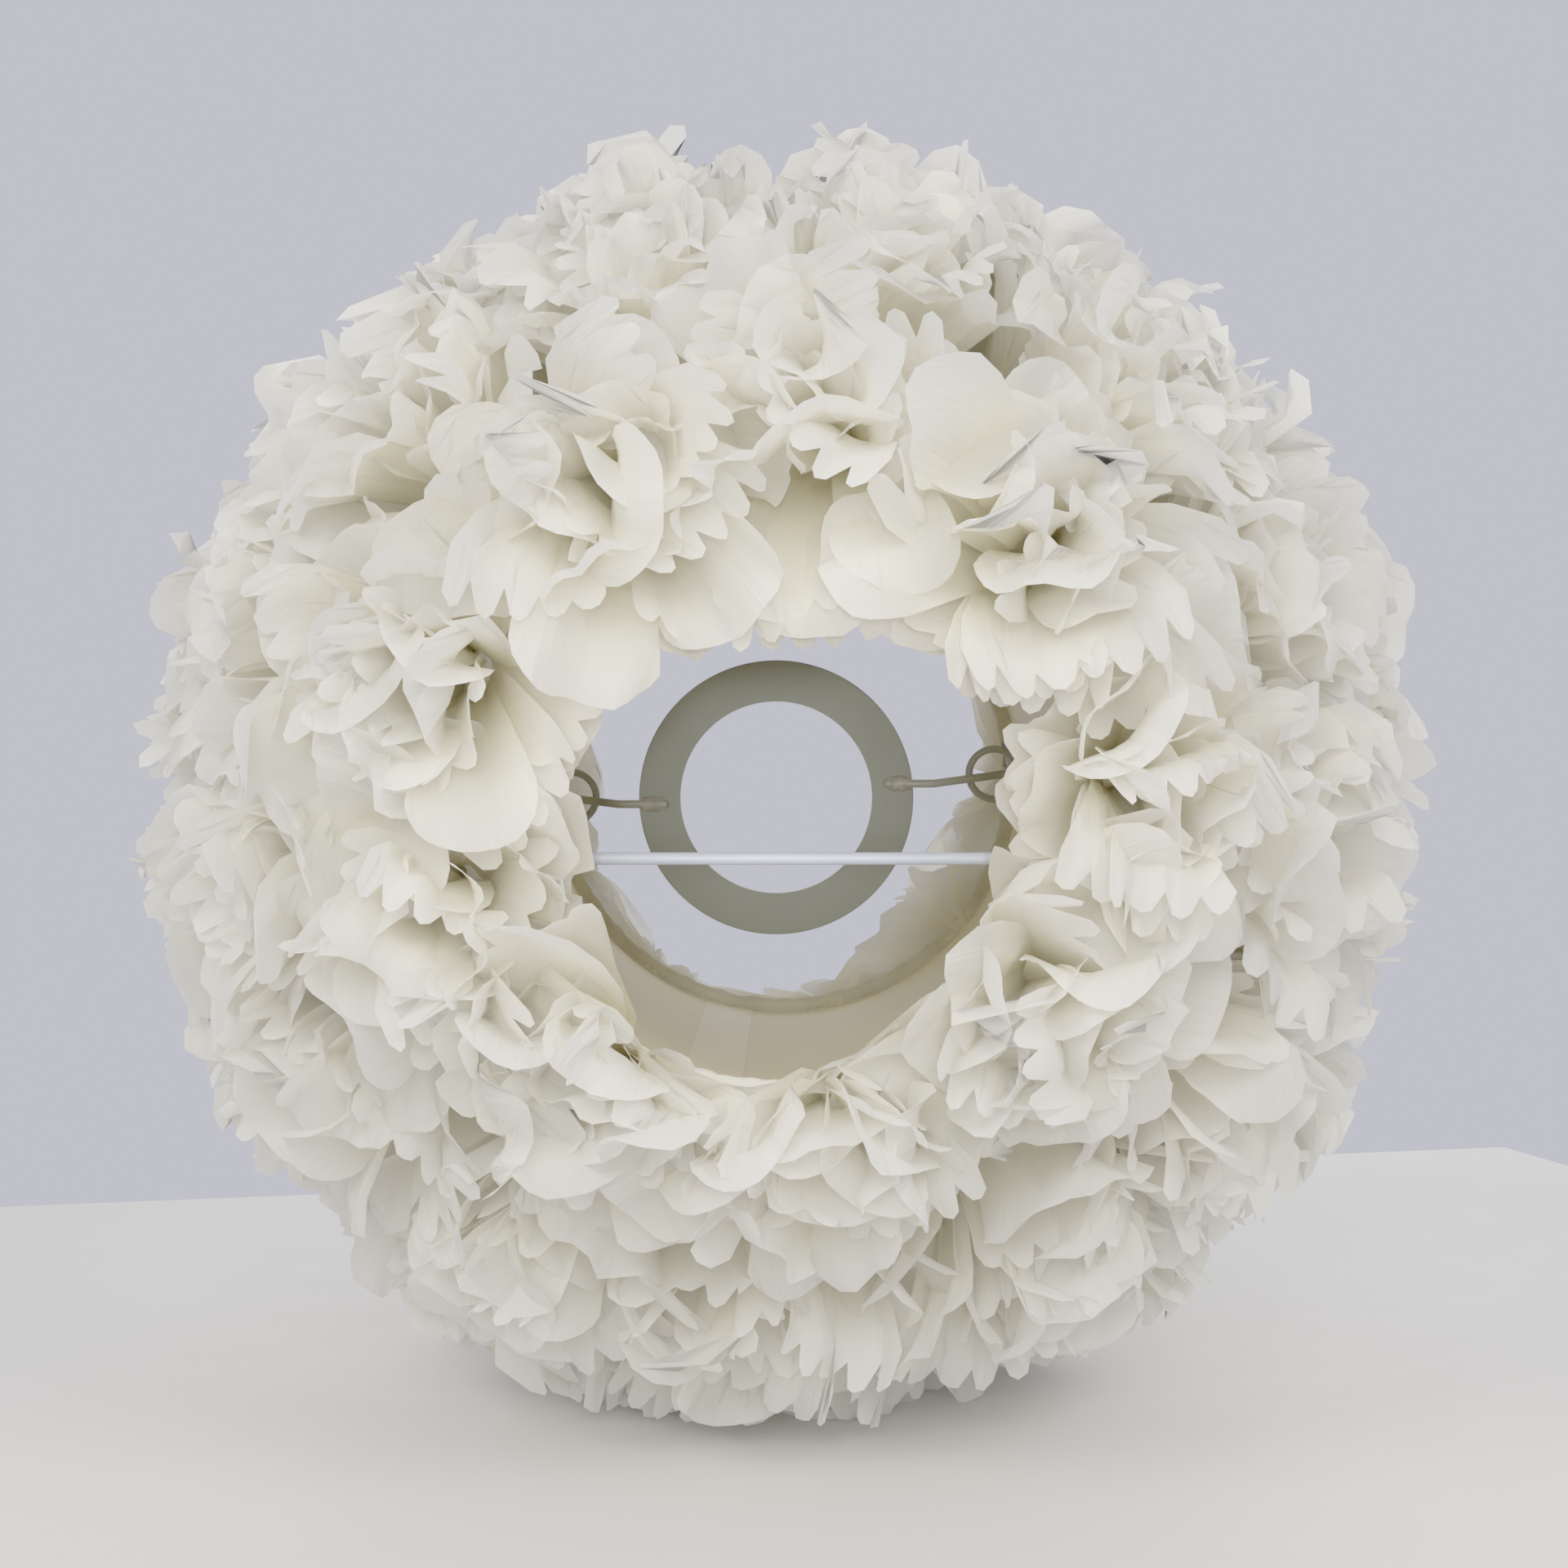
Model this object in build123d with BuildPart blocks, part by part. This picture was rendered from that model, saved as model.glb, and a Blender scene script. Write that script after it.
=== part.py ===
# Flower-covered ball lampshade, lying on its side.
#
# Origin: centre of the fitter ring's hole.
# +Y runs along the shade's axis out of its fitter end, -Y out of its open mouth, +Z is up.
# A wire-hooped drum carries rings of fabric blooms, which together make a ball.

from build123d import *
from math import asin, atan2, cos, hypot, pi, radians, sin, sqrt
import os

# --- overall sizes (mm) ---
drum_length = 140.0  # outer side of one hoop's wire to the outer side of the other's
hoop_radius = 50.5  # to the middle of each hoop's wire
head_height = 20.0  # of the cupped petals on each bloom, which set the ball's outside
pressed_depth = 6.5  # how far the ball is pressed flat by what it lies on

# --- fitter: a flat ring on two wire arms, each with an eye welded to the top hoop ---
fitter_hole_radius = 21.0
fitter_ring_radius = 30.0
fitter_thickness = 1.5
fitter_edge_break = 0.2
fitter_recess = 5.0  # from the top hoop's wire centre down to the ring's middle
fitter_shift = -1.4  # the ring's centre beside the drum's axis
fitter_sag = 4.2  # the ring's centre below the drum's axis
arm_wire_radius = 0.9
arm_bend_radius = 1.8
arm_weld_length = 6.0  # the stretch of arm that lies on the ring's face
arm_first_run = 4.5  # from the ring's edge to the joggle
arm_joggle_length = 5.0
arm_heights = {"left": -1.5, "right": 3.0}  # each weld above the ring's centre
eye_heights = {"left": 0.0, "right": 5.1}  # each eye above the ring's centre
eye_radius = 5.5  # to the middle of the eye's wire
eye_wire_radius = 0.82

# --- wire hoops and crossbar ---
hoop_wire_radius = 1.0
crossbar_wire_radius = 1.0
crossbar_drop = 13.3  # below the drum's axis

# --- drum: plastic liner, woven sleeve, tape bindings ---
liner_thickness = 0.5
sleeve_thickness = 0.4
seam_strip_width = 10.0
seam_strip_thickness = 0.2
seam_angle = -103.0  # degrees, anticlockwise from +X as seen from the mouth
tape_thickness = 0.35
tape_lap = 6.0  # how far the tape comes back over the sleeve

# --- blooms: a glue dab, folded outer petals and cupped inner petals in each ---
# rings of blooms from the mouth to the fitter end, with the outer petals' radius at the head
# and how far past straight down the ring's first bloom is, in pitches
rows = {
    "mouth": (5.2, 0.25),
    "lower": (11.0, 0.0),
    "lower_belly": (14.0, 0.5),
    "upper_belly": (14.0, 0.0),
    "upper": (11.0, 0.5),
    "crown": (5.2, 0.25),
}
end_row_inset = 12.0  # glue of the mouth and crown rings, in from the drum's ends
end_row_reach = 10.5  # their heads, out past the drum's ends
fold_radius = 5.0  # the pinched foot of the outer petals
glue_radius = 4.6
glue_height = 0.8
glue_round = 0.3

# --- clearances ---
sheet_gap = 0.05  # between sheets, wires and tape that lie on each other
weld_gap = 0.1  # at each end of the crossbar
soft_gap = 0.3  # between soft pieces that would touch, and around the crossbar in the tape
row_gap = 1.1  # between the heads of neighbouring rings
head_gap = 1.4  # at least, between the heads of one ring
notch_gap = 0.6  # around each eye

# --- worked out from those ---
axis_x = -fitter_shift
axis_z = fitter_sag
hoop_offset = drum_length / 2 - hoop_wire_radius  # each hoop from the drum's middle
drum_middle_y = fitter_recess - hoop_offset
drum_end = drum_length / 2
liner_radius = hoop_radius + hoop_wire_radius + sheet_gap  # inner face
liner_outer_radius = liner_radius + liner_thickness
sleeve_inner_radius = liner_outer_radius + sheet_gap
sleeve_radius = sleeve_inner_radius + sleeve_thickness
tape_inner_radius = sleeve_radius + sheet_gap
tape_outer_radius = tape_inner_radius + tape_thickness
arm_face_y = -(fitter_thickness / 2 + arm_wire_radius)
eye_y = fitter_recess - hoop_wire_radius - eye_wire_radius
eye_reach = tape_outer_radius - eye_radius - eye_wire_radius  # its centre from the drum's axis
arm_outer_y = eye_y - eye_wire_radius - arm_wire_radius
arm_end_reach = hoop_radius - hoop_wire_radius - sheet_gap - tape_thickness - soft_gap

# the heads' feet stand on a sphere about the drum's middle, at even angles from ring to ring
end_petal_radius = rows["mouth"][0]
end_head_radius = tape_outer_radius + soft_gap + end_petal_radius
end_head_along = drum_end + end_row_reach
head_place_radius = hypot(end_head_radius, end_head_along)
end_angle = atan2(end_head_radius, end_head_along)
row_step = (pi - 2 * end_angle) / (len(rows) - 1)
dome_radius = head_place_radius * sin(row_step / 2) - row_gap / 2
dome_centre = head_height - dome_radius
head_radius = sqrt(dome_radius**2 - dome_centre**2)
floor_z = axis_z - head_place_radius - head_height + pressed_depth
sides = {"left": -1, "right": 1}

drum_axis = Axis((axis_x, drum_middle_y, axis_z), (0, 1, 0))
drum_plane = Plane(origin=(axis_x, drum_middle_y, axis_z), x_dir=(1, 0, 0), z_dir=(0, 1, 0))


def section_plane(angle=0.0):
    """Half-plane of the drum's axis: local X is outwards at that angle, local Y is along +Y."""
    turn = radians(angle)
    return Plane(
        origin=(axis_x, drum_middle_y, axis_z),
        x_dir=(cos(turn), 0, sin(turn)),
        z_dir=(-sin(turn), 0, cos(turn)),
    )


def write(piece, name):
    """Labels a finished piece and writes it under its own name."""
    piece.part.label = name
    export_step(piece.part, f"parts/{name}.step")


os.makedirs("parts", exist_ok=True)

# --- fitter ---
with BuildPart() as fitter_ring:
    with BuildSketch(Plane.XZ.offset(-fitter_thickness / 2)):
        Circle(fitter_ring_radius)
        Circle(fitter_hole_radius, mode=Mode.SUBTRACT)
    extrude(amount=fitter_thickness)
    rims = fitter_ring.edges().filter_by(GeomType.CIRCLE).group_by(SortBy.RADIUS)[-1]
    chamfer(rims, fitter_edge_break)
write(fitter_ring, "fitter_ring")


def arm_points(side, weld_height, eye_height):
    """Corners of an arm's centre line, from its weld on the ring out to the top hoop."""
    ring_edge = side * sqrt(fitter_ring_radius**2 - weld_height**2)
    step_in = ring_edge + side * arm_first_run
    step_out = step_in + side * arm_joggle_length
    end = axis_x + side * arm_end_reach
    rise = (eye_height - weld_height) / (end - step_in)
    return [
        Vector(ring_edge - side * arm_weld_length, arm_face_y, weld_height),
        Vector(step_in, arm_face_y, weld_height),
        Vector(step_out, arm_outer_y, weld_height + rise * (step_out - step_in)),
        Vector(end, arm_outer_y, eye_height),
    ]


for name, side in sides.items():
    corners = arm_points(side, arm_heights[name], eye_heights[name])
    with BuildPart() as fitter_arm:
        with BuildLine() as centre_line:
            FilletPolyline(*corners, radius=arm_bend_radius)
        with BuildSketch(Plane(origin=corners[0], z_dir=corners[1] - corners[0])):
            Circle(arm_wire_radius)
        sweep(path=centre_line.wires()[0])
    write(fitter_arm, f"fitter_arm_{name}")

    eye_centre = (axis_x + side * eye_reach, eye_y, eye_heights[name])
    with BuildPart() as arm_eye:
        with BuildSketch(Plane(origin=eye_centre, x_dir=(1, 0, 0), z_dir=(0, 0, 1))):
            with Locations((eye_radius, 0)):
                Circle(eye_wire_radius)
        revolve(axis=Axis(eye_centre, (0, 1, 0)))
    write(arm_eye, f"arm_eye_{name}")

# --- hoops and crossbar ---
for name, end in {"bottom": -1, "top": 1}.items():
    with BuildPart() as hoop:
        with BuildSketch(section_plane()):
            with Locations((hoop_radius, end * hoop_offset)):
                Circle(hoop_wire_radius)
        revolve(axis=drum_axis)
    write(hoop, f"{name}_hoop")

hoop_inner_radius = hoop_radius - hoop_wire_radius
crossbar_half = sqrt(hoop_inner_radius**2 - (crossbar_drop + crossbar_wire_radius) ** 2) - weld_gap
crossbar_plane = Plane(
    origin=(axis_x, drum_middle_y - hoop_offset, axis_z - crossbar_drop),
    x_dir=(0, 1, 0),
    z_dir=(1, 0, 0),
)
with BuildPart() as bottom_crossbar:
    with BuildSketch(crossbar_plane):
        Circle(crossbar_wire_radius)
    extrude(amount=crossbar_half, both=True)
write(bottom_crossbar, "bottom_crossbar")


# --- drum ---
def cut_eye_notches():
    """Cuts a slot for each eye into the top end of the drum's piece being built."""
    notch_width = 2 * (eye_radius + eye_wire_radius + notch_gap)
    notch_foot = eye_y - eye_wire_radius - notch_gap
    notch_top = drum_middle_y + drum_end + 2 * tape_thickness
    for name, side in sides.items():
        middle = (axis_x + side * hoop_radius, (notch_foot + notch_top) / 2, eye_heights[name])
        with Locations(middle):
            Box(4 * eye_radius, notch_top - notch_foot, notch_width, mode=Mode.SUBTRACT)


def build_tube(inner_radius, thickness):
    """An open tube as long as the drum, with a notch for each eye."""
    with BuildPart() as tube:
        with BuildSketch(drum_plane.offset(-drum_end)):
            Circle(inner_radius + thickness)
            Circle(inner_radius, mode=Mode.SUBTRACT)
        extrude(amount=drum_length)
        cut_eye_notches()
    return tube


write(build_tube(liner_radius, liner_thickness), "liner_drum")
write(build_tube(sleeve_inner_radius, sleeve_thickness), "drum_sleeve")

seam_face = liner_radius - sheet_gap
seam_arc = seam_strip_width / seam_face * 180 / pi
seam_length = 2 * (hoop_offset - hoop_wire_radius - tape_thickness - soft_gap)
with BuildPart() as seam_strip:
    with BuildSketch(section_plane(seam_angle + seam_arc / 2)):
        with Locations((seam_face - seam_strip_thickness / 2, 0)):
            Rectangle(seam_strip_thickness, seam_length)
    revolve(axis=drum_axis, revolution_arc=seam_arc)
write(seam_strip, "liner_seam_strip")


def tape_section(end):
    """Sketches the tape's section: around the hoop's wire, over the drum's end, down the sleeve."""
    wire_place = (hoop_radius, end * hoop_offset)
    cap_height = drum_end + sheet_gap + tape_thickness
    with Locations(wire_place):
        Circle(hoop_wire_radius + sheet_gap + tape_thickness)
    with Locations(((hoop_radius + tape_outer_radius) / 2, end * (cap_height - tape_lap / 2))):
        Rectangle(tape_outer_radius - hoop_radius, tape_lap)
    with Locations(wire_place):
        Circle(hoop_wire_radius + sheet_gap, mode=Mode.SUBTRACT)
    core_width = tape_inner_radius - hoop_radius
    core_top = drum_end + sheet_gap
    with Locations((hoop_radius + core_width / 2, end * (core_top - tape_lap))):
        Rectangle(core_width, 2 * tape_lap, mode=Mode.SUBTRACT)


for name, end in {"bottom": -1, "top": 1}.items():
    with BuildPart() as binding:
        with BuildSketch(section_plane()):
            tape_section(end)
        revolve(axis=drum_axis)
        if end > 0:
            cut_eye_notches()
        else:
            with Locations(crossbar_plane.location):
                Cylinder(crossbar_wire_radius + soft_gap, 2 * hoop_radius, mode=Mode.SUBTRACT)
    write(binding, f"{name}_binding")


# --- blooms ---
class Row:
    """One ring of blooms: how many, where each stands and which way it leans."""

    def __init__(self, number, petal_radius, turn):
        self.petal_radius = petal_radius
        self.turn = turn
        glue_step = 2 * (drum_end - end_row_inset) / (len(rows) - 1)
        self.glue_place = end_row_inset - drum_end + number * glue_step
        angle = end_angle + number * row_step
        self.head = (head_place_radius * sin(angle), -head_place_radius * cos(angle))
        self.foot = (self.foot_radius(), self.glue_place)
        self.count = int(pi / asin((dome_radius + head_gap / 2) / self.head[0]))
        outwards = self.head[0] - self.foot[0]
        along = self.head[1] - self.foot[1]
        self.length = hypot(outwards, along)
        self.lean = (outwards / self.length, along / self.length)

    def foot_radius(self):
        """The foot's tilted disc just clears the glue dab, so its centre stands further out."""
        upright = sleeve_radius + glue_height + soft_gap
        furthest = upright + fold_radius
        outwards = self.head[0] - furthest
        along = self.head[1] - self.glue_place
        return upright + fold_radius * abs(along) / hypot(outwards, along)

    def planes(self, place, direction):
        """A plane for each bloom, at a place and facing a direction given as (outwards, along)."""
        for number in range(self.count):
            turn = 2 * pi * (number + self.turn) / self.count - pi / 2
            outwards = Vector(cos(turn), 0, sin(turn))
            along = Vector(0, 1, 0)
            origin = drum_axis.position + outwards * place[0] + along * place[1]
            facing = outwards * direction[0] + along * direction[1]
            yield Plane(origin=origin, x_dir=outwards.cross(along), z_dir=facing)


with BuildPart() as head:
    shoulder = (dome_radius * sin(pi / 4), dome_centre + dome_radius * cos(pi / 4))
    with BuildSketch(Plane.XZ):
        with BuildLine():
            Line((0, 0), (head_radius, 0))
            ThreePointArc((head_radius, 0), shoulder, (0, head_height))
            Line((0, head_height), (0, 0))
        make_face()
    revolve(axis=Axis.Z)

with BuildPart() as glue_dab:
    with BuildSketch(Plane.XY.offset(-glue_height)):
        Circle(glue_radius)
    extrude(amount=2 * glue_height)
    fillet(glue_dab.faces().sort_by(Axis.Z)[-1].edges(), glue_round)

for number, (row_name, (petal_radius, turn)) in enumerate(rows.items()):
    row = Row(number, petal_radius, turn)

    with BuildPart() as glue:
        dab_place = (sleeve_radius, row.glue_place)
        with Locations(*[plane.location for plane in row.planes(dab_place, (1, 0))]):
            add(glue_dab.part)
        with Locations(drum_plane.location):
            Cylinder(sleeve_radius, drum_length, mode=Mode.SUBTRACT)
    write(glue, f"{row_name}_row_glue")

    with BuildPart() as folded_petals:
        with BuildSketch(Plane.XZ):
            with BuildLine():
                Polyline(
                    (0, 0),
                    (fold_radius, 0),
                    (row.petal_radius, row.length - soft_gap),
                    (0, row.length - soft_gap),
                    close=True,
                )
            make_face()
        revolve(axis=Axis.Z)

    with BuildPart() as outer_petals:
        with Locations(*[plane.location for plane in row.planes(row.foot, row.lean)]):
            add(folded_petals.part)
    write(outer_petals, f"{row_name}_row_outer_petals")

    with BuildPart() as inner_petals:
        with Locations(*[plane.location for plane in row.planes(row.head, row.lean)]):
            add(head.part)
        split(bisect_by=Plane.XY.offset(floor_z), keep=Keep.TOP)
    write(inner_petals, f"{row_name}_row_inner_petals")
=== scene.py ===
import math
import random

import bpy
import numpy as np
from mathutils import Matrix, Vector


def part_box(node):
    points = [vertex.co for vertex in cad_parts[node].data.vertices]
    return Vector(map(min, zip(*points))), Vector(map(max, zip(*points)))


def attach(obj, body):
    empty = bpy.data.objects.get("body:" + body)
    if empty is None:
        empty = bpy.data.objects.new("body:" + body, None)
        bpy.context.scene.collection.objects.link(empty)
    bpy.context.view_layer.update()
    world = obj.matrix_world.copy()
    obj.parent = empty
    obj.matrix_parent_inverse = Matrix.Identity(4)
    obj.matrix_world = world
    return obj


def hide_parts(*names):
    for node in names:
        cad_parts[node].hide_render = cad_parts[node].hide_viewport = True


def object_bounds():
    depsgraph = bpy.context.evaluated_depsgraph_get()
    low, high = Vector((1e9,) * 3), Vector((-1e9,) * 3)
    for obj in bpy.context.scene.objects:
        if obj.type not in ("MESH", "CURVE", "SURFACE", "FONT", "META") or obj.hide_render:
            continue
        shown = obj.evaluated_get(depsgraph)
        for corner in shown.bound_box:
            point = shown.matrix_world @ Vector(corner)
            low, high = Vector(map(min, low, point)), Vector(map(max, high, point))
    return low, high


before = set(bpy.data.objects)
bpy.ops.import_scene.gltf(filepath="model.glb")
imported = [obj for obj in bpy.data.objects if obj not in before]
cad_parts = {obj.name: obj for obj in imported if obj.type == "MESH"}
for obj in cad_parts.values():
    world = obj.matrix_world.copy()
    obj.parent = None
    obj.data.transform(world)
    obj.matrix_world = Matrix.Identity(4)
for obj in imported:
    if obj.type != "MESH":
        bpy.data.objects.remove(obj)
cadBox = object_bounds()

# the drum runs along Y with its mouth towards -Y, and the ball rests on its side
sleeveLow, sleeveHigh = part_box("drum_sleeve")
ballCentre = np.array((sleeveLow + sleeveHigh) / 2)
sleeveRadius = (sleeveHigh.x - sleeveLow.x) / 2
floorHeight = cadBox[0].z
rowNames = ["mouth", "lower", "lower_belly", "upper_belly", "upper", "crown"]


def clearSelection():
    if bpy.context.object and bpy.context.object.mode != "OBJECT":
        bpy.ops.object.mode_set(mode="OBJECT")
    bpy.ops.object.select_all(action="DESELECT")


def corners(item):
    places = np.empty(len(item.data.vertices) * 3)
    item.data.vertices.foreach_get("co", places)
    return places.reshape(-1, 3)


def moveCorners(item, places):
    item.data.vertices.foreach_set("co", np.ascontiguousarray(places, dtype=np.float32).ravel())
    item.data.update()


def solidify(item, thickness):
    clearSelection()
    bpy.context.view_layer.objects.active = item
    item.select_set(True)
    wall = item.modifiers.new("wall", "SOLIDIFY")
    wall.thickness = thickness
    wall.offset = 0
    wall.use_even_offset = False
    bpy.ops.object.modifier_apply(modifier=wall.name)


# finishes: each is a small set of nodes on a new material
def newFinish(name):
    finish = bpy.data.materials.new(name)
    finish.use_nodes = True
    tree = finish.node_tree
    return finish, tree.nodes, tree.links, tree.nodes["Principled BSDF"]


def addNode(nodes, kind, inputs=None, **settings):
    node = nodes.new(kind)
    for setting, value in settings.items():
        setattr(node, setting, value)
    for socket, value in (inputs or {}).items():
        node.inputs[socket].default_value = value
    return node


def addRamp(nodes, stops):
    ramp = nodes.new("ShaderNodeValToRGB")
    points = ramp.color_ramp.elements
    while len(points) < len(stops):
        points.new(0.5)
    for point, (place, colour) in zip(points, stops):
        point.position = place
        point.color = (*colour, 1)
    return ramp


def addBump(nodes, links, height, strength, distance, under=None):
    bump = addNode(nodes, "ShaderNodeBump", {"Strength": strength, "Distance": distance})
    links.new(height, bump.inputs["Height"])
    if under:
        links.new(under.outputs["Normal"], bump.inputs["Normal"])
    return bump


# paint, wire, plastic, glue and tape: soft patches of two colours under a fine grain
def surfaceFinish(name, light, dark, grain=400.0, patch=40.0, roughness=0.5, bumpDepth=0.0001,
                  bumpStrength=0.3, specular=0.5, worn=None):
    finish, nodes, links, shader = newFinish(name)
    where = addNode(nodes, "ShaderNodeTexCoord")
    blotch = addNode(nodes, "ShaderNodeTexNoise", {"Scale": patch, "Detail": 4.0})
    fine = addNode(nodes, "ShaderNodeTexNoise", {"Scale": grain, "Detail": 6.0})
    for noise in (blotch, fine):
        links.new(where.outputs["Object"], noise.inputs["Vector"])
    stops = [(0.3, dark), (0.62, light)]
    if worn:
        stops = [(0.22, worn)] + stops  # the glue that shows through in a few spots
    ramp = addRamp(nodes, stops)
    links.new(blotch.outputs["Fac"], ramp.inputs["Fac"])
    links.new(ramp.outputs["Color"], shader.inputs["Base Color"])
    shader.inputs["Specular IOR Level"].default_value = specular
    vary = 0.08  # how far the roughness wanders
    spread = addNode(nodes, "ShaderNodeMapRange",
                     {"To Min": roughness - vary, "To Max": roughness + vary})
    links.new(fine.outputs["Fac"], spread.inputs["Value"])
    links.new(spread.outputs["Result"], shader.inputs["Roughness"])
    bump = addBump(nodes, links, fine.outputs["Fac"], bumpStrength, bumpDepth)
    links.new(bump.outputs["Normal"], shader.inputs["Normal"])
    return finish


# mixes in light that comes through from the other side
def letLightThrough(finish, share, colour=(1, 1, 1)):
    tree = finish.node_tree
    shader = tree.nodes["Principled BSDF"]
    through = addNode(tree.nodes, "ShaderNodeBsdfTranslucent", {"Color": (*colour, 1)})
    mix = addNode(tree.nodes, "ShaderNodeMixShader", {"Fac": share})
    tree.links.new(shader.outputs["BSDF"], mix.inputs[1])
    tree.links.new(through.outputs["BSDF"], mix.inputs[2])
    tree.links.new(mix.outputs["Shader"], tree.nodes["Material Output"].inputs["Surface"])
    return through


# thin cloth: deeper, warmer colour towards the foot, partly the glue and thicker cloth at the pinch
# and partly painted warm shade of the bloom's hollow heart; long pleats and fine fibres along each
# petal
def petalFinish(name, values):
    finish, nodes, links, shader = newFinish(name)
    cutMap = addNode(nodes, "ShaderNodeUVMap", uv_map="cut")
    parts = addNode(nodes, "ShaderNodeSeparateXYZ")
    links.new(cutMap.outputs["UV"], parts.inputs["Vector"])
    # colour along each petal: the deep warm foot colour is partly painted shade of the bloom's heart
    ramp = addRamp(nodes, values["colours"])
    links.new(parts.outputs["Y"], ramp.inputs["Fac"])
    tone = addNode(nodes, "ShaderNodeAttribute", attribute_name="tone")
    blend = addNode(nodes, "ShaderNodeMix", data_type="RGBA", blend_type="MULTIPLY")
    blend.inputs["Factor"].default_value = 1.0
    links.new(ramp.outputs["Color"], blend.inputs[6])
    links.new(tone.outputs["Color"], blend.inputs[7])
    links.new(blend.outputs[2], shader.inputs["Base Color"])
    pleatMap = addNode(nodes, "ShaderNodeMapping", {"Scale": values["pleatScale"]})
    fibreMap = addNode(nodes, "ShaderNodeMapping", {"Scale": values["fibreScale"]})
    links.new(cutMap.outputs["UV"], pleatMap.inputs["Vector"])
    links.new(cutMap.outputs["UV"], fibreMap.inputs["Vector"])
    pleats = addNode(nodes, "ShaderNodeTexNoise", {"Scale": 1.0, "Detail": 2.0})
    fibres = addNode(nodes, "ShaderNodeTexNoise", {"Scale": 1.0, "Detail": 5.0})
    links.new(pleatMap.outputs["Vector"], pleats.inputs["Vector"])
    links.new(fibreMap.outputs["Vector"], fibres.inputs["Vector"])
    pleatBump = addBump(nodes, links, pleats.outputs["Fac"], values["pleat"], values["pleatDepth"])
    fibreBump = addBump(nodes, links, fibres.outputs["Fac"], values["fibre"], values["fibreDepth"],
                        pleatBump)
    links.new(fibreBump.outputs["Normal"], shader.inputs["Normal"])
    shader.inputs["Roughness"].default_value = values["roughness"]
    shader.inputs["Specular IOR Level"].default_value = values["specular"]
    shader.inputs["Sheen Weight"].default_value = values["sheen"]
    shader.inputs["Sheen Roughness"].default_value = values["sheenRoughness"]
    through = letLightThrough(finish, values["through"])
    links.new(blend.outputs[2], through.inputs["Color"])
    links.new(pleatBump.outputs["Normal"], through.inputs["Normal"])
    return finish


petalCloth = {
    # foot to tip: the deeper, warmer foot colours are partly glue and thicker cloth, partly painted
    # shade of the bloom's heart
    "colours": [(0.0, (0.90, 0.80, 0.44)), (0.35, (0.945, 0.89, 0.67)),
                (0.68, (0.96, 0.935, 0.822)), (0.92, (0.961, 0.944, 0.888))],
    "pleatScale": (9.0, 0.8, 1.0),
    "fibreScale": (60.0, 12.0, 1.0),
    "pleat": 0.35,
    "pleatDepth": 0.0012,
    "fibre": 0.25,
    "fibreDepth": 0.0002,
    "roughness": 0.82,
    "specular": 0.25,
    "sheen": 0.12,
    "sheenRoughness": 0.45,
    "through": 0.56,
}
outerCloth = petalFinish("outer petal cloth", petalCloth)
innerCloth = petalFinish("inner petal cloth", {**petalCloth, "pleat": 0.3, "through": 0.54})
print("finishes made")

# two die cuts, each made once and flat: across in half widths, along in lengths
petalCuts = {
    "round": {"columns": 12, "rows": 5, "pinch": 0.12, "shoulder": 0.80, "fan": 0.9,
              "broad": 1.0, "crowd": 1.35},
    "toothed": {"teeth": 5, "rows": 4, "pinch": 0.12, "shoulder": 0.90, "fan": 0.85,
                "toothDepth": 0.10, "hollow": 0.07, "broad": 1.15, "crowd": 1.35},
}
toothShape = [0.0, 0.82, 1.0, 0.82]  # notch, flank, tip, flank


def makeCut(kind):
    values = petalCuts[kind]
    columns = values.get("columns") or values["teeth"] * len(toothShape)
    clearSelection()
    bpy.ops.mesh.primitive_grid_add(x_subdivisions=columns, y_subdivisions=values["rows"], size=2)
    cut = bpy.context.object
    shoulder = values["shoulder"]
    for corner in cut.data.vertices:
        side = corner.co.x
        along = 1 - (1 - (corner.co.y + 1) / 2) ** values["crowd"]  # rows crowd towards the tip
        if kind == "round":
            across = math.sin(side * math.pi / 2)
            end = shoulder + (1 - shoulder) * math.cos(side * math.pi / 2)
        else:
            across = side
            place = int(round((side + 1) / 2 * columns)) % len(toothShape)
            end = 1 - values["toothDepth"] * (1 - toothShape[place]) - values["hollow"] * side**2
        reach = end * along
        spread = values["pinch"] + (1 - values["pinch"]) * min(1, reach / shoulder) ** values["fan"]
        corner.co = (across * spread, reach, 0)
    cut.data.update()
    places = corners(cut)[:, :2]
    faces = np.array([list(face.vertices) for face in cut.data.polygons])
    area = sum(face.area for face in cut.data.polygons)
    bpy.data.objects.remove(cut)
    return {"places": places, "faces": faces, "area": area, "broad": values["broad"]}


cuts = {kind: makeCut(kind) for kind in petalCuts}

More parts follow.
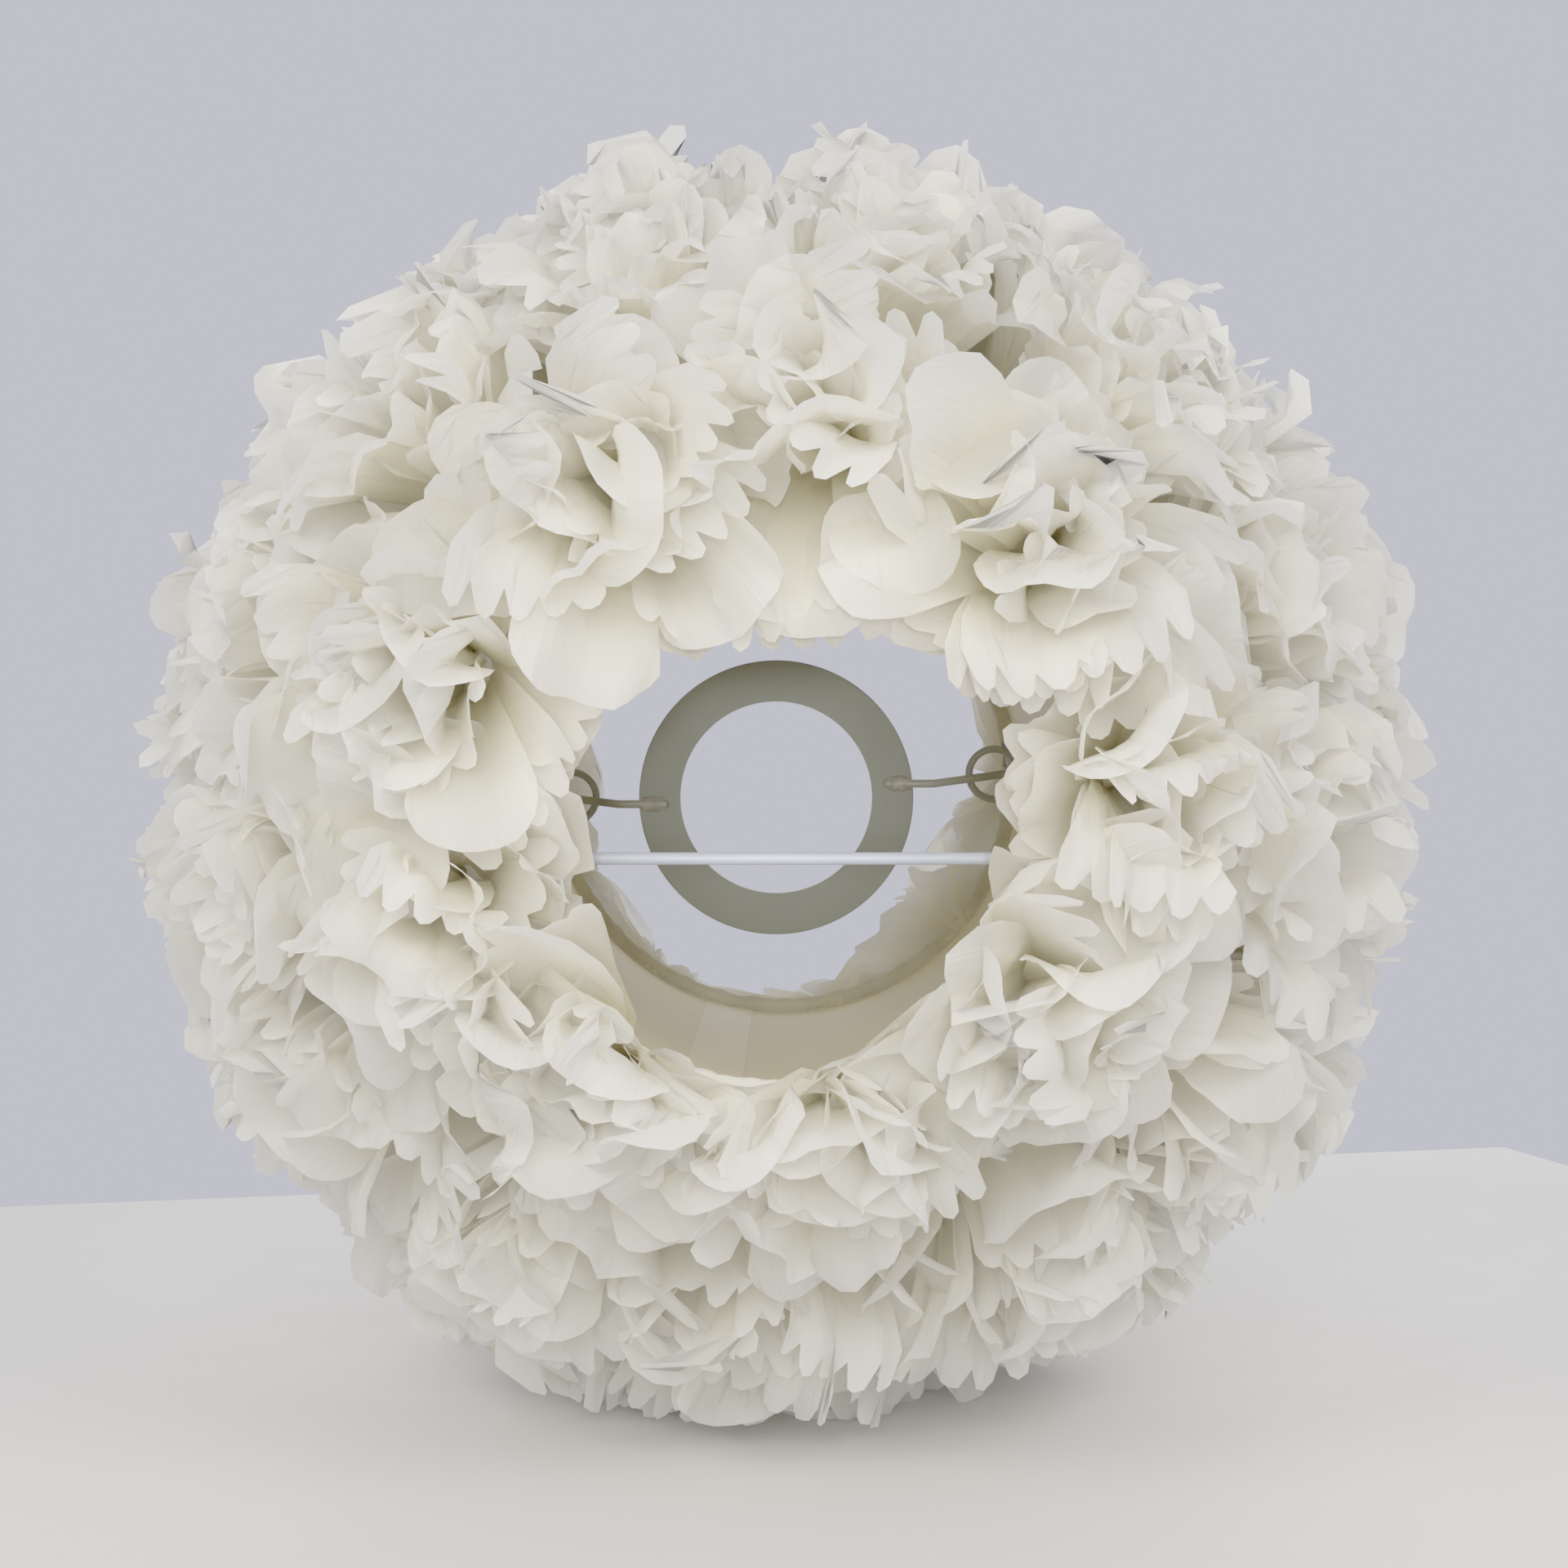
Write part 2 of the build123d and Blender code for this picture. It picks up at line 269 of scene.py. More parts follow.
# layers of one bloom, from its skirt to its heart: swing is in degrees about the ball's centre,
# height in ball radii, curl in degrees, width in metres
layers = [
    {"part": "outer", "petals": 8, "swing": (10.5, 18.5), "height": (0.89, 0.945),
     "curl": (65, 115), "width": (0.021, 0.028), "cup": (0.0, 0.6), "toothed": 0.4, "start": 0.30},
    {"part": "outer", "petals": 6, "swing": (6.0, 15.0), "height": (0.91, 0.97), "curl": (35, 115),
     "width": (0.020, 0.028), "cup": (0.0, 0.7), "toothed": 0.45, "start": 0.25},
    {"part": "outer", "petals": 5, "swing": (2.0, 12.0), "height": (0.93, 0.98), "curl": (40, 120),
     "width": (0.020, 0.028), "cup": (0.0, 0.8), "toothed": 0.45, "start": 0.20},
    {"part": "inner", "petals": 5, "swing": (-4.5, 7.5), "height": (0.945, 0.985), "curl": (35, 120),
     "width": (0.020, 0.027), "cup": (0.0, 0.9), "toothed": 0.45, "start": 0.12},
    {"part": "inner", "petals": 4, "swing": (-9.0, -2.0), "height": (0.955, 0.985), "curl": (35, 100),
     "width": (0.020, 0.027), "cup": (0.0, 0.9), "toothed": 0.4, "start": 0.02},
]


def headCorners(rowName):
    return corners(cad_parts[f"{rowName}_row_inner_petals"]) - ballCentre


ballRadius = max(np.linalg.norm(headCorners(name), axis=1).max() for name in rowNames)
blooms = {
    "sag": {"mouth": 0.008, "crown": 0.001},  # how far the petals over the open ends hang down
    "otherSag": 0.004,
    # how near the drum's axis the petals come, by the angle round each open end
    "mouthReach": [(-180, 0.0295), (-160, 0.0315), (-141, 0.034), (-117, 0.046), (-95, 0.049),
                   (-80, 0.043), (-65, 0.040), (-50, 0.036), (-25, 0.037), (0, 0.033), (35, 0.029),
                   (60, 0.022), (90, 0.018), (115, 0.020), (135, 0.022), (150, 0.0255), (180, 0.0295)],
    "crownReach": [(-180, 0.042), (-160, 0.044), (-140, 0.048), (-115, 0.050), (-75, 0.049),
                   (-60, 0.037), (-20, 0.037), (0, 0.044), (25, 0.050), (155, 0.050),
                   (180, 0.042)],
    "lean": 7.0,  # degrees that a bloom may lean away from straight out
    "seed": 11,
    "glueHeight": 0.001,
    "footSpread": 0.0015,  # from the bloom's middle to its petals' feet
    "unevenness": 0.22,  # how far petals stand off even spacing, as a share of it
    "tones": (0.95, 1.0),
    "clothWidth": 0.5,
    "clothUsed": 0.62,  # share of the flat cloth that becomes petals
}
petalShape = {
    "flop": 0.9,  # radians that a petal may fall to one side
    "twist": 0.6,
    "ruffle": (0.0006, 0.0022),
    "waves": (0.7, 1.4),
    "rollBack": 0.004,
    "gutter": 1.1,  # how closely the foot is rolled
    "footPull": 1.15,
    "tipPull": 0.85,
    "droop": {"outer": 0.55, "inner": 0.35},
    "foldForwards": 0.6,
    "pastBall": 0.002,
    "pastShare": 0.3,
}
openEnds = {
    "spare": (-0.0015, 0.003),  # each petal's own difference from the reach
    "clear": (0.0, 0.007),
    "facing": 0.35,  # from here on an outer petal begins to turn over the rim
    "facingRange": 0.45,
    "overReach": (-0.001, 0.003),
    "overPlace": 0.083,
    "overRange": 0.009,
    "behindRim": 0.069,
    "tries": 3,
    "goodEnough": 0.002,
    "step": 0.8,
    "squeeze": 0.25,
}
clearance = {"drum": 0.0012, "drumEnd": 0.0016, "floor": 0.0004, "floorSoftness": 0.0016}


# one vector or many, each made one long
def unit(vector):
    return vector / np.linalg.norm(vector, axis=-1, keepdims=True)


# where each bloom of a row stands on the drum and which way it faces, from the row's own nodes
def bloomPlaces(rowName, draw):
    glue = corners(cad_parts[f"{rowName}_row_glue"]) - ballCentre
    heads = headCorners(rowName)
    glueTurns = np.arctan2(glue[:, 2], glue[:, 0])
    headTurns = np.arctan2(heads[:, 2], heads[:, 0])
    ordered = np.sort(glueTurns)
    gaps = np.diff(np.append(ordered, ordered[0] + 2 * math.pi))
    starts = np.flatnonzero(gaps > math.radians(4))  # no dab of glue has a gap that wide in it
    found = []
    for number, last in enumerate(starts):
        first = ordered[(last + 1) % len(ordered)]
        final = ordered[starts[(number + 1) % len(starts)]]
        if final < first:
            final += 2 * math.pi
        turn = (first + final) / 2
        away = np.abs((headTurns - turn + math.pi) % (2 * math.pi) - math.pi)
        near = away < math.pi / len(starts)
        footRadius = sleeveRadius + blooms["glueHeight"]
        foot = np.array((math.cos(turn) * footRadius, glue[:, 1].mean(),
                         math.sin(turn) * footRadius))
        lean = math.tan(math.radians(blooms["lean"]))
        astray = np.array([draw.uniform(-lean, lean) for way in range(3)])
        found.append((foot, unit(unit(heads[near].mean(axis=0) - foot) + astray)))
    return found


# keeps a petal out of the drum
def pushOut(places):
    radius = np.hypot(places[:, 0], places[:, 2])
    half = (sleeveHigh.y - sleeveLow.y) / 2 + clearance["drumEnd"]
    wall = sleeveRadius + clearance["drum"]
    inside = (radius < wall) & (np.abs(places[:, 1]) < half)
    sideways = wall - radius
    endways = half - np.abs(places[:, 1])
    out = inside & (sideways <= endways)
    scale = np.where(out, wall / np.maximum(radius, 1e-6), 1.0)
    places[:, 0] *= scale
    places[:, 2] *= scale
    past = inside & (sideways > endways)
    places[:, 1] = np.where(past, np.sign(places[:, 1]) * half, places[:, 1])
    return places


# petals under the ball lie flat on the floor instead of passing through it
def restOnFloor(places):
    floor = floorHeight - ballCentre[2] + clearance["floor"]
    rise = places[:, 2] - floor
    places[:, 2] = floor + (rise + np.sqrt(rise**2 + clearance["floorSoftness"]**2)) / 2
    return places


# lays a flat cut along a smooth line from foot to tip, then cups, twists and ruffles it
def shapePetal(cut, foot, tip, footWay, tipWay, axis, outwards, form):
    half, cup, ruffle, phase, waves, twist, rollBack = form
    span = np.linalg.norm(tip - foot)
    footPull = footWay * span * petalShape["footPull"]
    tipPull = tipWay * span * petalShape["tipPull"]
    s = cut["places"][:, 1:2]  # 0 at the foot, 1 at the tip
    across = cut["places"][:, :1]
    line = ((2 * s**3 - 3 * s**2 + 1) * foot + (s**3 - 2 * s**2 + s) * footPull
            + (3 * s**2 - 2 * s**3) * tip + (s**3 - s**2) * tipPull)
    way = unit((6 * s**2 - 6 * s) * (foot - tip) + (3 * s**2 - 4 * s + 1) * footPull
               + (3 * s**2 - 2 * s) * tipPull)
    level = np.cross(axis, outwards)
    broad = unit(level - (way @ level)[:, None] * way)
    face = np.cross(way, broad)
    turned = twist * s
    broad, face = (broad * np.cos(turned) + face * np.sin(turned),
                   face * np.cos(turned) - broad * np.sin(turned))
    bend = cup * s + petalShape["gutter"] * (1 - s) + 1e-3  # never quite flat
    sideStep = half / bend * np.sin(bend * across)
    lift = half / bend * (1 - np.cos(bend * across))
    lift = lift + ruffle * s**2 * np.sin(2 * math.pi * waves * across + phase)
    lift = lift - rollBack * np.abs(across) ** 3 * s**5
    return line + broad * sideStep + face * lift, line


# chooses one petal's tip, curl and form at random within its layer, and shapes it there
def bendPetal(cut, rowName, foot, axis, outwards, layer, draw):
    swing = math.radians(draw.uniform(*layer["swing"]))
    height = ballRadius * draw.uniform(*layer["height"])
    curl = math.radians(draw.uniform(*layer["curl"]))
    half = draw.uniform(*layer["width"]) / 2 * cut["broad"]
    cup = draw.uniform(*layer["cup"])
    ruffle, phase = draw.uniform(*petalShape["ruffle"]), draw.uniform(0, 2 * math.pi)
    waves = draw.uniform(*petalShape["waves"])
    twist = draw.uniform(-petalShape["twist"], petalShape["twist"])
    rollBack = draw.uniform(0.0, petalShape["rollBack"])
    flop = draw.uniform(-petalShape["flop"], petalShape["flop"])
    outer = layer["part"] == "outer"
    openEnd = rowName in ("mouth", "crown")
    form = (half, cup, ruffle, phase, waves, twist, rollBack)

    # where the bloom's axis meets the ball
    headPlace = foot + axis * (np.dot(-foot, axis) + math.sqrt(
        np.dot(foot, axis) ** 2 - np.dot(foot, foot) + ballRadius**2))
    radial = unit(headPlace)
    sideways = unit(outwards - np.dot(outwards, radial) * radial)
    tip = (math.cos(swing) * radial + math.sin(swing) * sideways) * height
    sag = blooms["otherSag"]
    if openEnd:
        inwards = unit(np.array((-radial[0], 0, -radial[2])))
        facing = max(0.0, float(np.dot(sideways, inwards)))
        sag = blooms["sag"][rowName] * (0.35 + 0.65 * facing)  # most where they hang inwards
        around = unit(np.array((tip[0], 0, tip[2])))
        turns, reaches = zip(*blooms[f"{rowName}Reach"])
        reach = np.interp(math.degrees(math.atan2(around[2], around[0])), turns, reaches)
        spare = draw.uniform(*openEnds["spare"])
        clear = reach + draw.uniform(*openEnds["clear"])
        if math.hypot(tip[0], tip[2]) < clear:
            tip = np.array((around[0] * clear, tip[1], around[2] * clear))
        if outer and facing > openEnds["facing"]:  # these petals turn over the drum's rim
            end = -1 if rowName == "mouth" else 1
            reach += draw.uniform(*openEnds["overReach"])
            share = min(1.0, (facing - openEnds["facing"]) / openEnds["facingRange"])
            place = end * (openEnds["overPlace"] + draw.uniform(0, openEnds["overRange"]))
            tip = tip * (1 - share) + (around * reach + np.array((0, place, 0))) * share
            sag *= 1 - share
    along = unit(tip)
    tipSide = unit(sideways - np.dot(sideways, along) * along)
    tipSide = math.cos(flop) * tipSide + math.sin(flop) * np.cross(along, tipSide)
    # petals that point up fold forwards instead of curling back
    curl *= 1 - petalShape["foldForwards"] * max(0.0, tipSide[2])
    tipWay = math.cos(curl) * along + math.sin(curl) * tipSide
    tip = tip - np.array((0, 0, sag * draw.uniform(0.7, 1.3)))
    tipWay = unit(tipWay - np.array((0, 0, petalShape["droop"][layer["part"]])))
    footWay = unit(axis + layer["start"] * outwards)

    # a petal that would reach too far over an open end moves outwards, and its last bit is squeezed
    for attempt in range(openEnds["tries"]):
        places, line = shapePetal(cut, foot, tip, footWay, tipWay, axis, outwards, form)
        if not openEnd:
            break
        around = np.degrees(np.arctan2(places[:, 2], places[:, 0]))
        edge = np.interp(around, turns, reaches) + spare
        radius = np.hypot(places[:, 0], places[:, 2])
        near = (radius < edge) & (np.abs(places[:, 1]) > openEnds["behindRim"])
        short = np.where(near, edge - radius, 0.0).max()
        if short < openEnds["goodEnough"]:
            break
        tip = tip + unit(np.array((tip[0], 0, tip[2]))) * short * openEnds["step"]
    if openEnd:
        scale = np.where(near, (edge - openEnds["squeeze"] * (edge - radius)) / radius, 1.0)
        places[:, 0] *= scale
        places[:, 2] *= scale
    places = restOnFloor(pushOut(places))
    far = np.linalg.norm(places, axis=1, keepdims=True)
    limit = ballRadius + petalShape["pastBall"]
    nearer = limit + (far - limit) * petalShape["pastShare"]
    places *= np.where(far > limit, nearer / far, 1.0)
    inOrder = line[np.argsort(cut["places"][:, 1])]
    length = np.linalg.norm(np.diff(inOrder, axis=0), axis=1).sum()
    return places, half, length


# all the outer or all the inner petals of one row, as one piece
def makeRow(rowName, part, finish, draw):
    allPlaces, allFaces, allMaps, allTones = [], [], [], []
    count, flatArea = 0, 0.0
    rowDraw = random.Random(blooms["seed"] + rowNames.index(rowName))
    for foot, axis in bloomPlaces(rowName, rowDraw):
        helper = np.array((0.0, 1.0, 0.0)) if abs(axis[1]) < 0.9 else np.array((1.0, 0.0, 0.0))
        first = unit(np.cross(axis, helper))
        second = np.cross(axis, first)
        for layer in layers:
            if layer["part"] != part:
                continue
            turn = draw.uniform(0, 2 * math.pi)
            for petal in range(layer["petals"]):
                uneven = draw.uniform(-blooms["unevenness"], blooms["unevenness"])
                angle = turn + 2 * math.pi * (petal + uneven) / layer["petals"]
                outwards = math.cos(angle) * first + math.sin(angle) * second
                cut = cuts["toothed" if draw.random() < layer["toothed"] else "round"]
                rooted = foot + outwards * blooms["footSpread"]
                places, half, length = bendPetal(cut, rowName, rooted, axis, outwards, layer,
                                                 draw)
                allPlaces.append(places + ballCentre)
                allFaces.append(cut["faces"] + count)
                shift = draw.uniform(0, 40)
                allMaps.append(np.column_stack((cut["places"][:, 0] + shift, cut["places"][:, 1])))
                tone = draw.uniform(*blooms["tones"])
                allTones.append(np.full(len(places), tone))
                count += len(places)
                flatArea += cut["area"] * half * length
    faces = np.vstack(allFaces)
    maps = np.vstack(allMaps)
    mesh = bpy.data.meshes.new(f"{rowName}_{part}_petals")
    mesh.from_pydata(np.vstack(allPlaces).tolist(), [], faces.tolist())
    cutMap = mesh.uv_layers.new(name="cut")
    cutMap.data.foreach_set("uv", maps[faces.ravel()].astype(np.float32).ravel())
    tones = mesh.attributes.new("tone", "FLOAT_COLOR", "POINT")
    tone = np.concatenate(allTones)
    colours = np.column_stack((tone, tone, tone * 0.995, np.ones(len(tone))))
    tones.data.foreach_set("color", colours.astype(np.float32).ravel())
    piece = bpy.data.objects.new(f"{rowName}_{part}_petals", mesh)
    bpy.context.collection.objects.link(piece)
    for face in piece.data.polygons:
        face.use_smooth = True
    piece.data.materials.append(finish)
    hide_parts(f"{rowName}_row_{part}_petals")
    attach(piece, "root")
    print(piece.name, len(piece.data.polygons), "faces,", round(flatArea, 3), "square metres")


for place, rowName in enumerate(rowNames):
    for part, finish in (("outer", outerCloth), ("inner", innerCloth)):
        draw = random.Random(blooms["seed"] * 100 + place * 2 + (part == "inner"))
        makeRow(rowName, part, finish, draw)
print("petals made")

# finishes for the frame's own pieces
# the ring is white painted steel; this dark grey-green is painted shade, the ring as it looks deep
# inside the drum
paint = surfaceFinish("fitter paint in painted shade", (0.135, 0.144, 0.098), (0.124, 0.132, 0.088), roughness=0.6,
                      bumpDepth=0.00005, patch=60)
# the arms and eyes are white painted wire; these dark grey-greens are painted shade, as they look at
# the back of the drum
shadedWirePaint = surfaceFinish("painted wire in painted shade", (0.23, 0.24, 0.19), (0.15, 0.156, 0.12), roughness=0.42)
weldMetal = surfaceFinish("weld metal", (0.30, 0.30, 0.24), (0.16, 0.13, 0.09), roughness=0.5,
                          patch=500, grain=2500, bumpDepth=0.0002, bumpStrength=0.6)
whiteWire = surfaceFinish("white coated wire", (0.44, 0.48, 0.57), (0.38, 0.42, 0.51), roughness=0.4,
                          bumpDepth=0.0001)
linerPlastic = surfaceFinish("liner plastic", (0.93, 0.83, 0.38), (0.88, 0.77, 0.32), roughness=0.42,
                             patch=25, bumpDepth=0.00006, specular=0.25)
letLightThrough(linerPlastic, 0.5, (0.97, 0.87, 0.42))
stripPlastic = surfaceFinish("seam strip plastic", (0.89, 0.79, 0.35), (0.84, 0.73, 0.30),
                             roughness=0.40, specular=0.3)
letLightThrough(stripPlastic, 0.45, (0.94, 0.80, 0.36))
gluePlastic = surfaceFinish("hot glue", (0.72, 0.66, 0.44), (0.60, 0.52, 0.30), roughness=0.25,
                            grain=200, bumpDepth=0.0003)
letLightThrough(gluePlastic, 0.3, (0.8, 0.7, 0.42))
sleeveCloth = surfaceFinish("woven sleeve", (0.78, 0.74, 0.62), (0.70, 0.66, 0.52), roughness=0.9,
                            grain=900)
letLightThrough(sleeveCloth, 0.3, (0.85, 0.8, 0.62))
# the same pale tape as at the mouth, darkened here as painted shade for the fitter end deep in the
# drum; the darkest spots are the glue showing through
shadedTapeCloth = surfaceFinish("fitter end tape in painted shade", (0.52, 0.47, 0.30), (0.38, 0.33, 0.18), roughness=0.85,
                          grain=1200, patch=120, bumpDepth=0.0004, bumpStrength=0.6,
                          worn=(0.36, 0.24, 0.07))
mouthTapeCloth = surfaceFinish("mouth tape", (0.90, 0.87, 0.77), (0.80, 0.75, 0.60), roughness=0.85,
                               grain=1200, patch=90, bumpDepth=0.0004, bumpStrength=0.5)

# tape folded over each hoop and the drum's end, wrapped by hand
binding = {
    "section": [(2.22, -4.8), (2.22, -2.5), (2.22, 0.3), (2.0, 1.2), (1.4, 1.33), (0.6, 1.2),
                (0.0, 1.23), (-0.87, 0.87), (-1.23, 0.0), (-0.9, -0.85), (-0.2, -1.3), (0.6, -1.8),
                (0.8, -2.8), (0.83, -4.2)],  # millimetres from the hoop's wire: out, and along
    "steps": 240,
    "depth": 0.0048,  # from the hoop's wire to the free edges
    "wander": 0.0006,
    "pucker": 0.00016,
    "laps": 7,  # ends of tape that lie one over the next
    "lapLength": 0.16,
    "lapHeight": 0.00022,
    "thickness": 0.00035,
    "width": 0.0185,
    "eyeSpare": 0.0006,
}


def makeBinding(name, end, seed):
    hoopLow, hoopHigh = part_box(f"{name}_hoop")
    wire = (hoopHigh.y - hoopLow.y) / 2
    hoopRadius = (hoopHigh.x - hoopLow.x) / 2 - wire
    hoopPlace = (hoopLow.y + hoopHigh.y) / 2
    draw = random.Random(seed)
    line = [(ballCentre[0] + hoopRadius + out * 0.001, hoopPlace + end * along * 0.001, ballCentre[2])
            for out, along in binding["section"]]
    mesh = bpy.data.meshes.new(f"{name}_tape")
    mesh.from_pydata(line, [(number, number + 1) for number in range(len(line) - 1)], [])
    tape = bpy.data.objects.new(f"{name}_tape", mesh)
    bpy.context.collection.objects.link(tape)
    clearSelection()
    bpy.context.view_layer.objects.active = tape
    tape.select_set(True)
    bpy.ops.object.mode_set(mode="EDIT")
    bpy.ops.mesh.select_all(action="SELECT")
    bpy.ops.mesh.spin(steps=binding["steps"], angle=2 * math.pi, center=tuple(ballCentre),
                      axis=(0, 1, 0))
    bpy.ops.mesh.select_all(action="SELECT")
    bpy.ops.mesh.remove_doubles(threshold=0.00002)
    bpy.ops.mesh.normals_make_consistent(inside=False)
    bpy.ops.object.mode_set(mode="OBJECT")
    places = corners(tape) - ballCentre
    turn = np.arctan2(places[:, 2], places[:, 0])
    radius = np.hypot(places[:, 0], places[:, 2])
    height = end * (places[:, 1] - (hoopPlace - ballCentre[1]))
    lap = np.clip(-height / binding["depth"], 0, 1)  # 1 at the tape's free edges
    wander = sum(math.sin(draw.uniform(0, 6)) * np.sin(turn * count + draw.uniform(0, 6.28))
                 for count in (5, 9, 14, 23, 37))
    pucker = sum(np.sin(turn * count + height * lean + draw.uniform(0, 6.28))
                 for count, lean in ((61, 600), (97, -900), (143, 1400)))
    height = height + lap * wander * binding["wander"]
    outer = np.sign(radius - hoopRadius)
    radius = radius + outer * np.abs(pucker) * binding["pucker"]
    for count in range(binding["laps"]):
        seam = draw.uniform(-math.pi, math.pi)
        over = (turn - seam) % (2 * math.pi) / binding["lapLength"]
        radius += outer * np.where(over < 1, binding["lapHeight"] * (1 - over), 0)
    places[:, 0] = radius * np.cos(turn)
    places[:, 2] = radius * np.sin(turn)
    places[:, 1] = hoopPlace - ballCentre[1] + end * height
    moveCorners(tape, places + ballCentre)
    if end > 0:  # the arms' eyes stand in notches
        removeFaces(tape, facesAtEyes(tape, binding["eyeSpare"]))
    solidify(tape, binding["thickness"])
    # the fitter end's tape takes the darker copy, painted shade; the mouth's tape keeps its own pale
    # colour
    finishPiece(tape, shadedTapeCloth if end > 0 else mouthTapeCloth,
                [f"{name}_binding"])


def facesAtEyes(item, spare, openTop=False):
    centres = np.array([face.center for face in item.data.polygons])
    chosen = np.zeros(len(centres), bool)
    for side in ("left", "right"):
        low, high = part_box(f"arm_eye_{side}")
        chosen |= ((centres[:, 0] > low.x - spare) & (centres[:, 0] < high.x + spare)
                   & (centres[:, 2] > low.z - spare) & (centres[:, 2] < high.z + spare)
                   & (centres[:, 1] > low.y - spare)
                   & ((centres[:, 1] < high.y + spare) | openTop))
    return chosen


def removeFaces(item, chosen):
    clearSelection()
    bpy.context.view_layer.objects.active = item
    item.select_set(True)
    bpy.ops.object.mode_set(mode="EDIT")
    bpy.ops.mesh.select_mode(type="FACE")
    bpy.ops.mesh.select_all(action="DESELECT")
    bpy.ops.object.mode_set(mode="OBJECT")
    item.data.polygons.foreach_set("select", chosen)
    bpy.ops.object.mode_set(mode="EDIT")
    bpy.ops.mesh.delete(type="FACE")
    bpy.ops.object.mode_set(mode="OBJECT")


def finishPiece(item, finish, stoodFor=()):
    for face in item.data.polygons:
        face.use_smooth = True
    item.data.materials.clear()
    item.data.materials.append(finish)
    if stoodFor:
        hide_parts(*stoodFor)
    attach(item, "root")


# woven sleeve stretched over the liner, slit for the arms' eyes up to its end
sleeve = {"columns": 180, "rows": 70, "thickness": 0.0004, "spare": 0.0008}


def makeSleeve():
    clearSelection()
    depth = sleeveHigh.y - sleeveLow.y
    bpy.ops.mesh.primitive_cylinder_add(vertices=sleeve["columns"], depth=depth,
                                        radius=sleeveRadius - sleeve["thickness"] / 2,
                                        end_fill_type="NOTHING", location=tuple(ballCentre),
                                        rotation=(math.pi / 2, 0, 0))
    cloth = bpy.context.object
    cloth.name = cloth.data.name = "drum_sleeve_cloth"
    bpy.ops.object.transform_apply(location=True, rotation=True, scale=True)
    places = corners(cloth)
    long = np.array([abs(places[edge.vertices[0]][1] - places[edge.vertices[1]][1]) > depth / 2
                     for edge in cloth.data.edges])
    bpy.ops.object.mode_set(mode="EDIT")
    bpy.ops.mesh.select_mode(type="EDGE")
    bpy.ops.mesh.select_all(action="DESELECT")
    bpy.ops.object.mode_set(mode="OBJECT")
    cloth.data.edges.foreach_set("select", long)
    bpy.ops.object.mode_set(mode="EDIT")
    bpy.ops.mesh.subdivide(number_cuts=sleeve["rows"] - 1)
    bpy.ops.object.mode_set(mode="OBJECT")
    removeFaces(cloth, facesAtEyes(cloth, sleeve["spare"], openTop=True))
    solidify(cloth, sleeve["thickness"])
    finishPiece(cloth, sleeveCloth, ["drum_sleeve"])


makeSleeve()
makeBinding("bottom", -1, 31)
makeBinding("top", 1, 47)
print("sleeve and tape made")

# weld beads where the arms lie on the ring
weld = {"length": 0.0072, "width": 0.0034, "height": 0.0021, "ripples": 12, "rippleDepth": 0.12,
        "leftLevel": -0.0015, "wireRadius": 0.0009, "onArm": 0.42, "sunk": 0.0002}


def makeWeld(side):
    armLow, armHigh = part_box(f"fitter_arm_{side}")
    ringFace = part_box("fitter_ring")[0].y
    sign = -1 if side == "left" else 1
    end = armHigh.x if side == "left" else armLow.x
    level = weld["leftLevel"] if side == "left" else armLow.z + weld["wireRadius"]
    middle = np.array((end + sign * weld["length"] * weld["onArm"], ringFace, level))
    clearSelection()
    bpy.ops.mesh.primitive_uv_sphere_add(segments=24, ring_count=12, radius=1)
    bead = bpy.context.object
    bead.name = bead.data.name = f"fitter_weld_{side}"
    shape = corners(bead)
    ripple = 1 + weld["rippleDepth"] * np.sin(shape[:, 0] * weld["ripples"] + 1.3 * shape[:, 2])
    shape[:, 0] *= weld["length"] / 2
    shape[:, 1] *= weld["height"] * ripple
    shape[:, 2] *= weld["width"] / 2 * ripple
    shape[:, 1] = np.minimum(shape[:, 1], weld["sunk"])
    moveCorners(bead, shape + middle)
    finishPiece(bead, weldMetal)


for side in ("left", "right"):
    makeWeld(side)
print("welds made")

# the fitter ring's, arms' and eyes' finishes are darkened as painted shade
nodeFinishes = {
    "fitter_ring": paint, "fitter_arm_left": shadedWirePaint, "fitter_arm_right": shadedWirePaint,
    "arm_eye_left": shadedWirePaint, "arm_eye_right": shadedWirePaint, "top_hoop": whiteWire,
    "bottom_hoop": whiteWire, "bottom_crossbar": whiteWire, "liner_drum": linerPlastic,
    "liner_seam_strip": stripPlastic,
}
nodeFinishes.update({f"{name}_row_glue": gluePlastic for name in rowNames})
for nodeName, finish in nodeFinishes.items():
    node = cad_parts[nodeName]
    node.data.materials.clear()
    node.data.materials.append(finish)
print("frame pieces finished")

# stage, lights and camera
stage = {
    "tableCorner": (0.223, 0.202),  # its back corner, on the right
    "tableTurn": 0.228,  # how far it stands turned, in radians
    "tableSize": (4.0, 3.0, 0.03),
    "table": (0.69, 0.675, 0.628),
    "tablePatch": (0.67, 0.655, 0.608),
    "wall": (0.286, 0.286, 0.343),
    "gamma": 2.0,
}
clearSelection()
bpy.ops.mesh.primitive_cube_add(size=1)
table = bpy.context.object
table.name = "table"
tablePlaces = corners(table)
tableAcross = (tablePlaces[:, 0] - 0.5) * stage["tableSize"][0]
tableDown = (tablePlaces[:, 1] - 0.5) * stage["tableSize"][1]
turnCos, turnSin = math.cos(stage["tableTurn"]), math.sin(stage["tableTurn"])
tablePlaces[:, 0] = stage["tableCorner"][0] + tableAcross * turnCos - tableDown * turnSin
tablePlaces[:, 1] = stage["tableCorner"][1] + tableAcross * turnSin + tableDown * turnCos
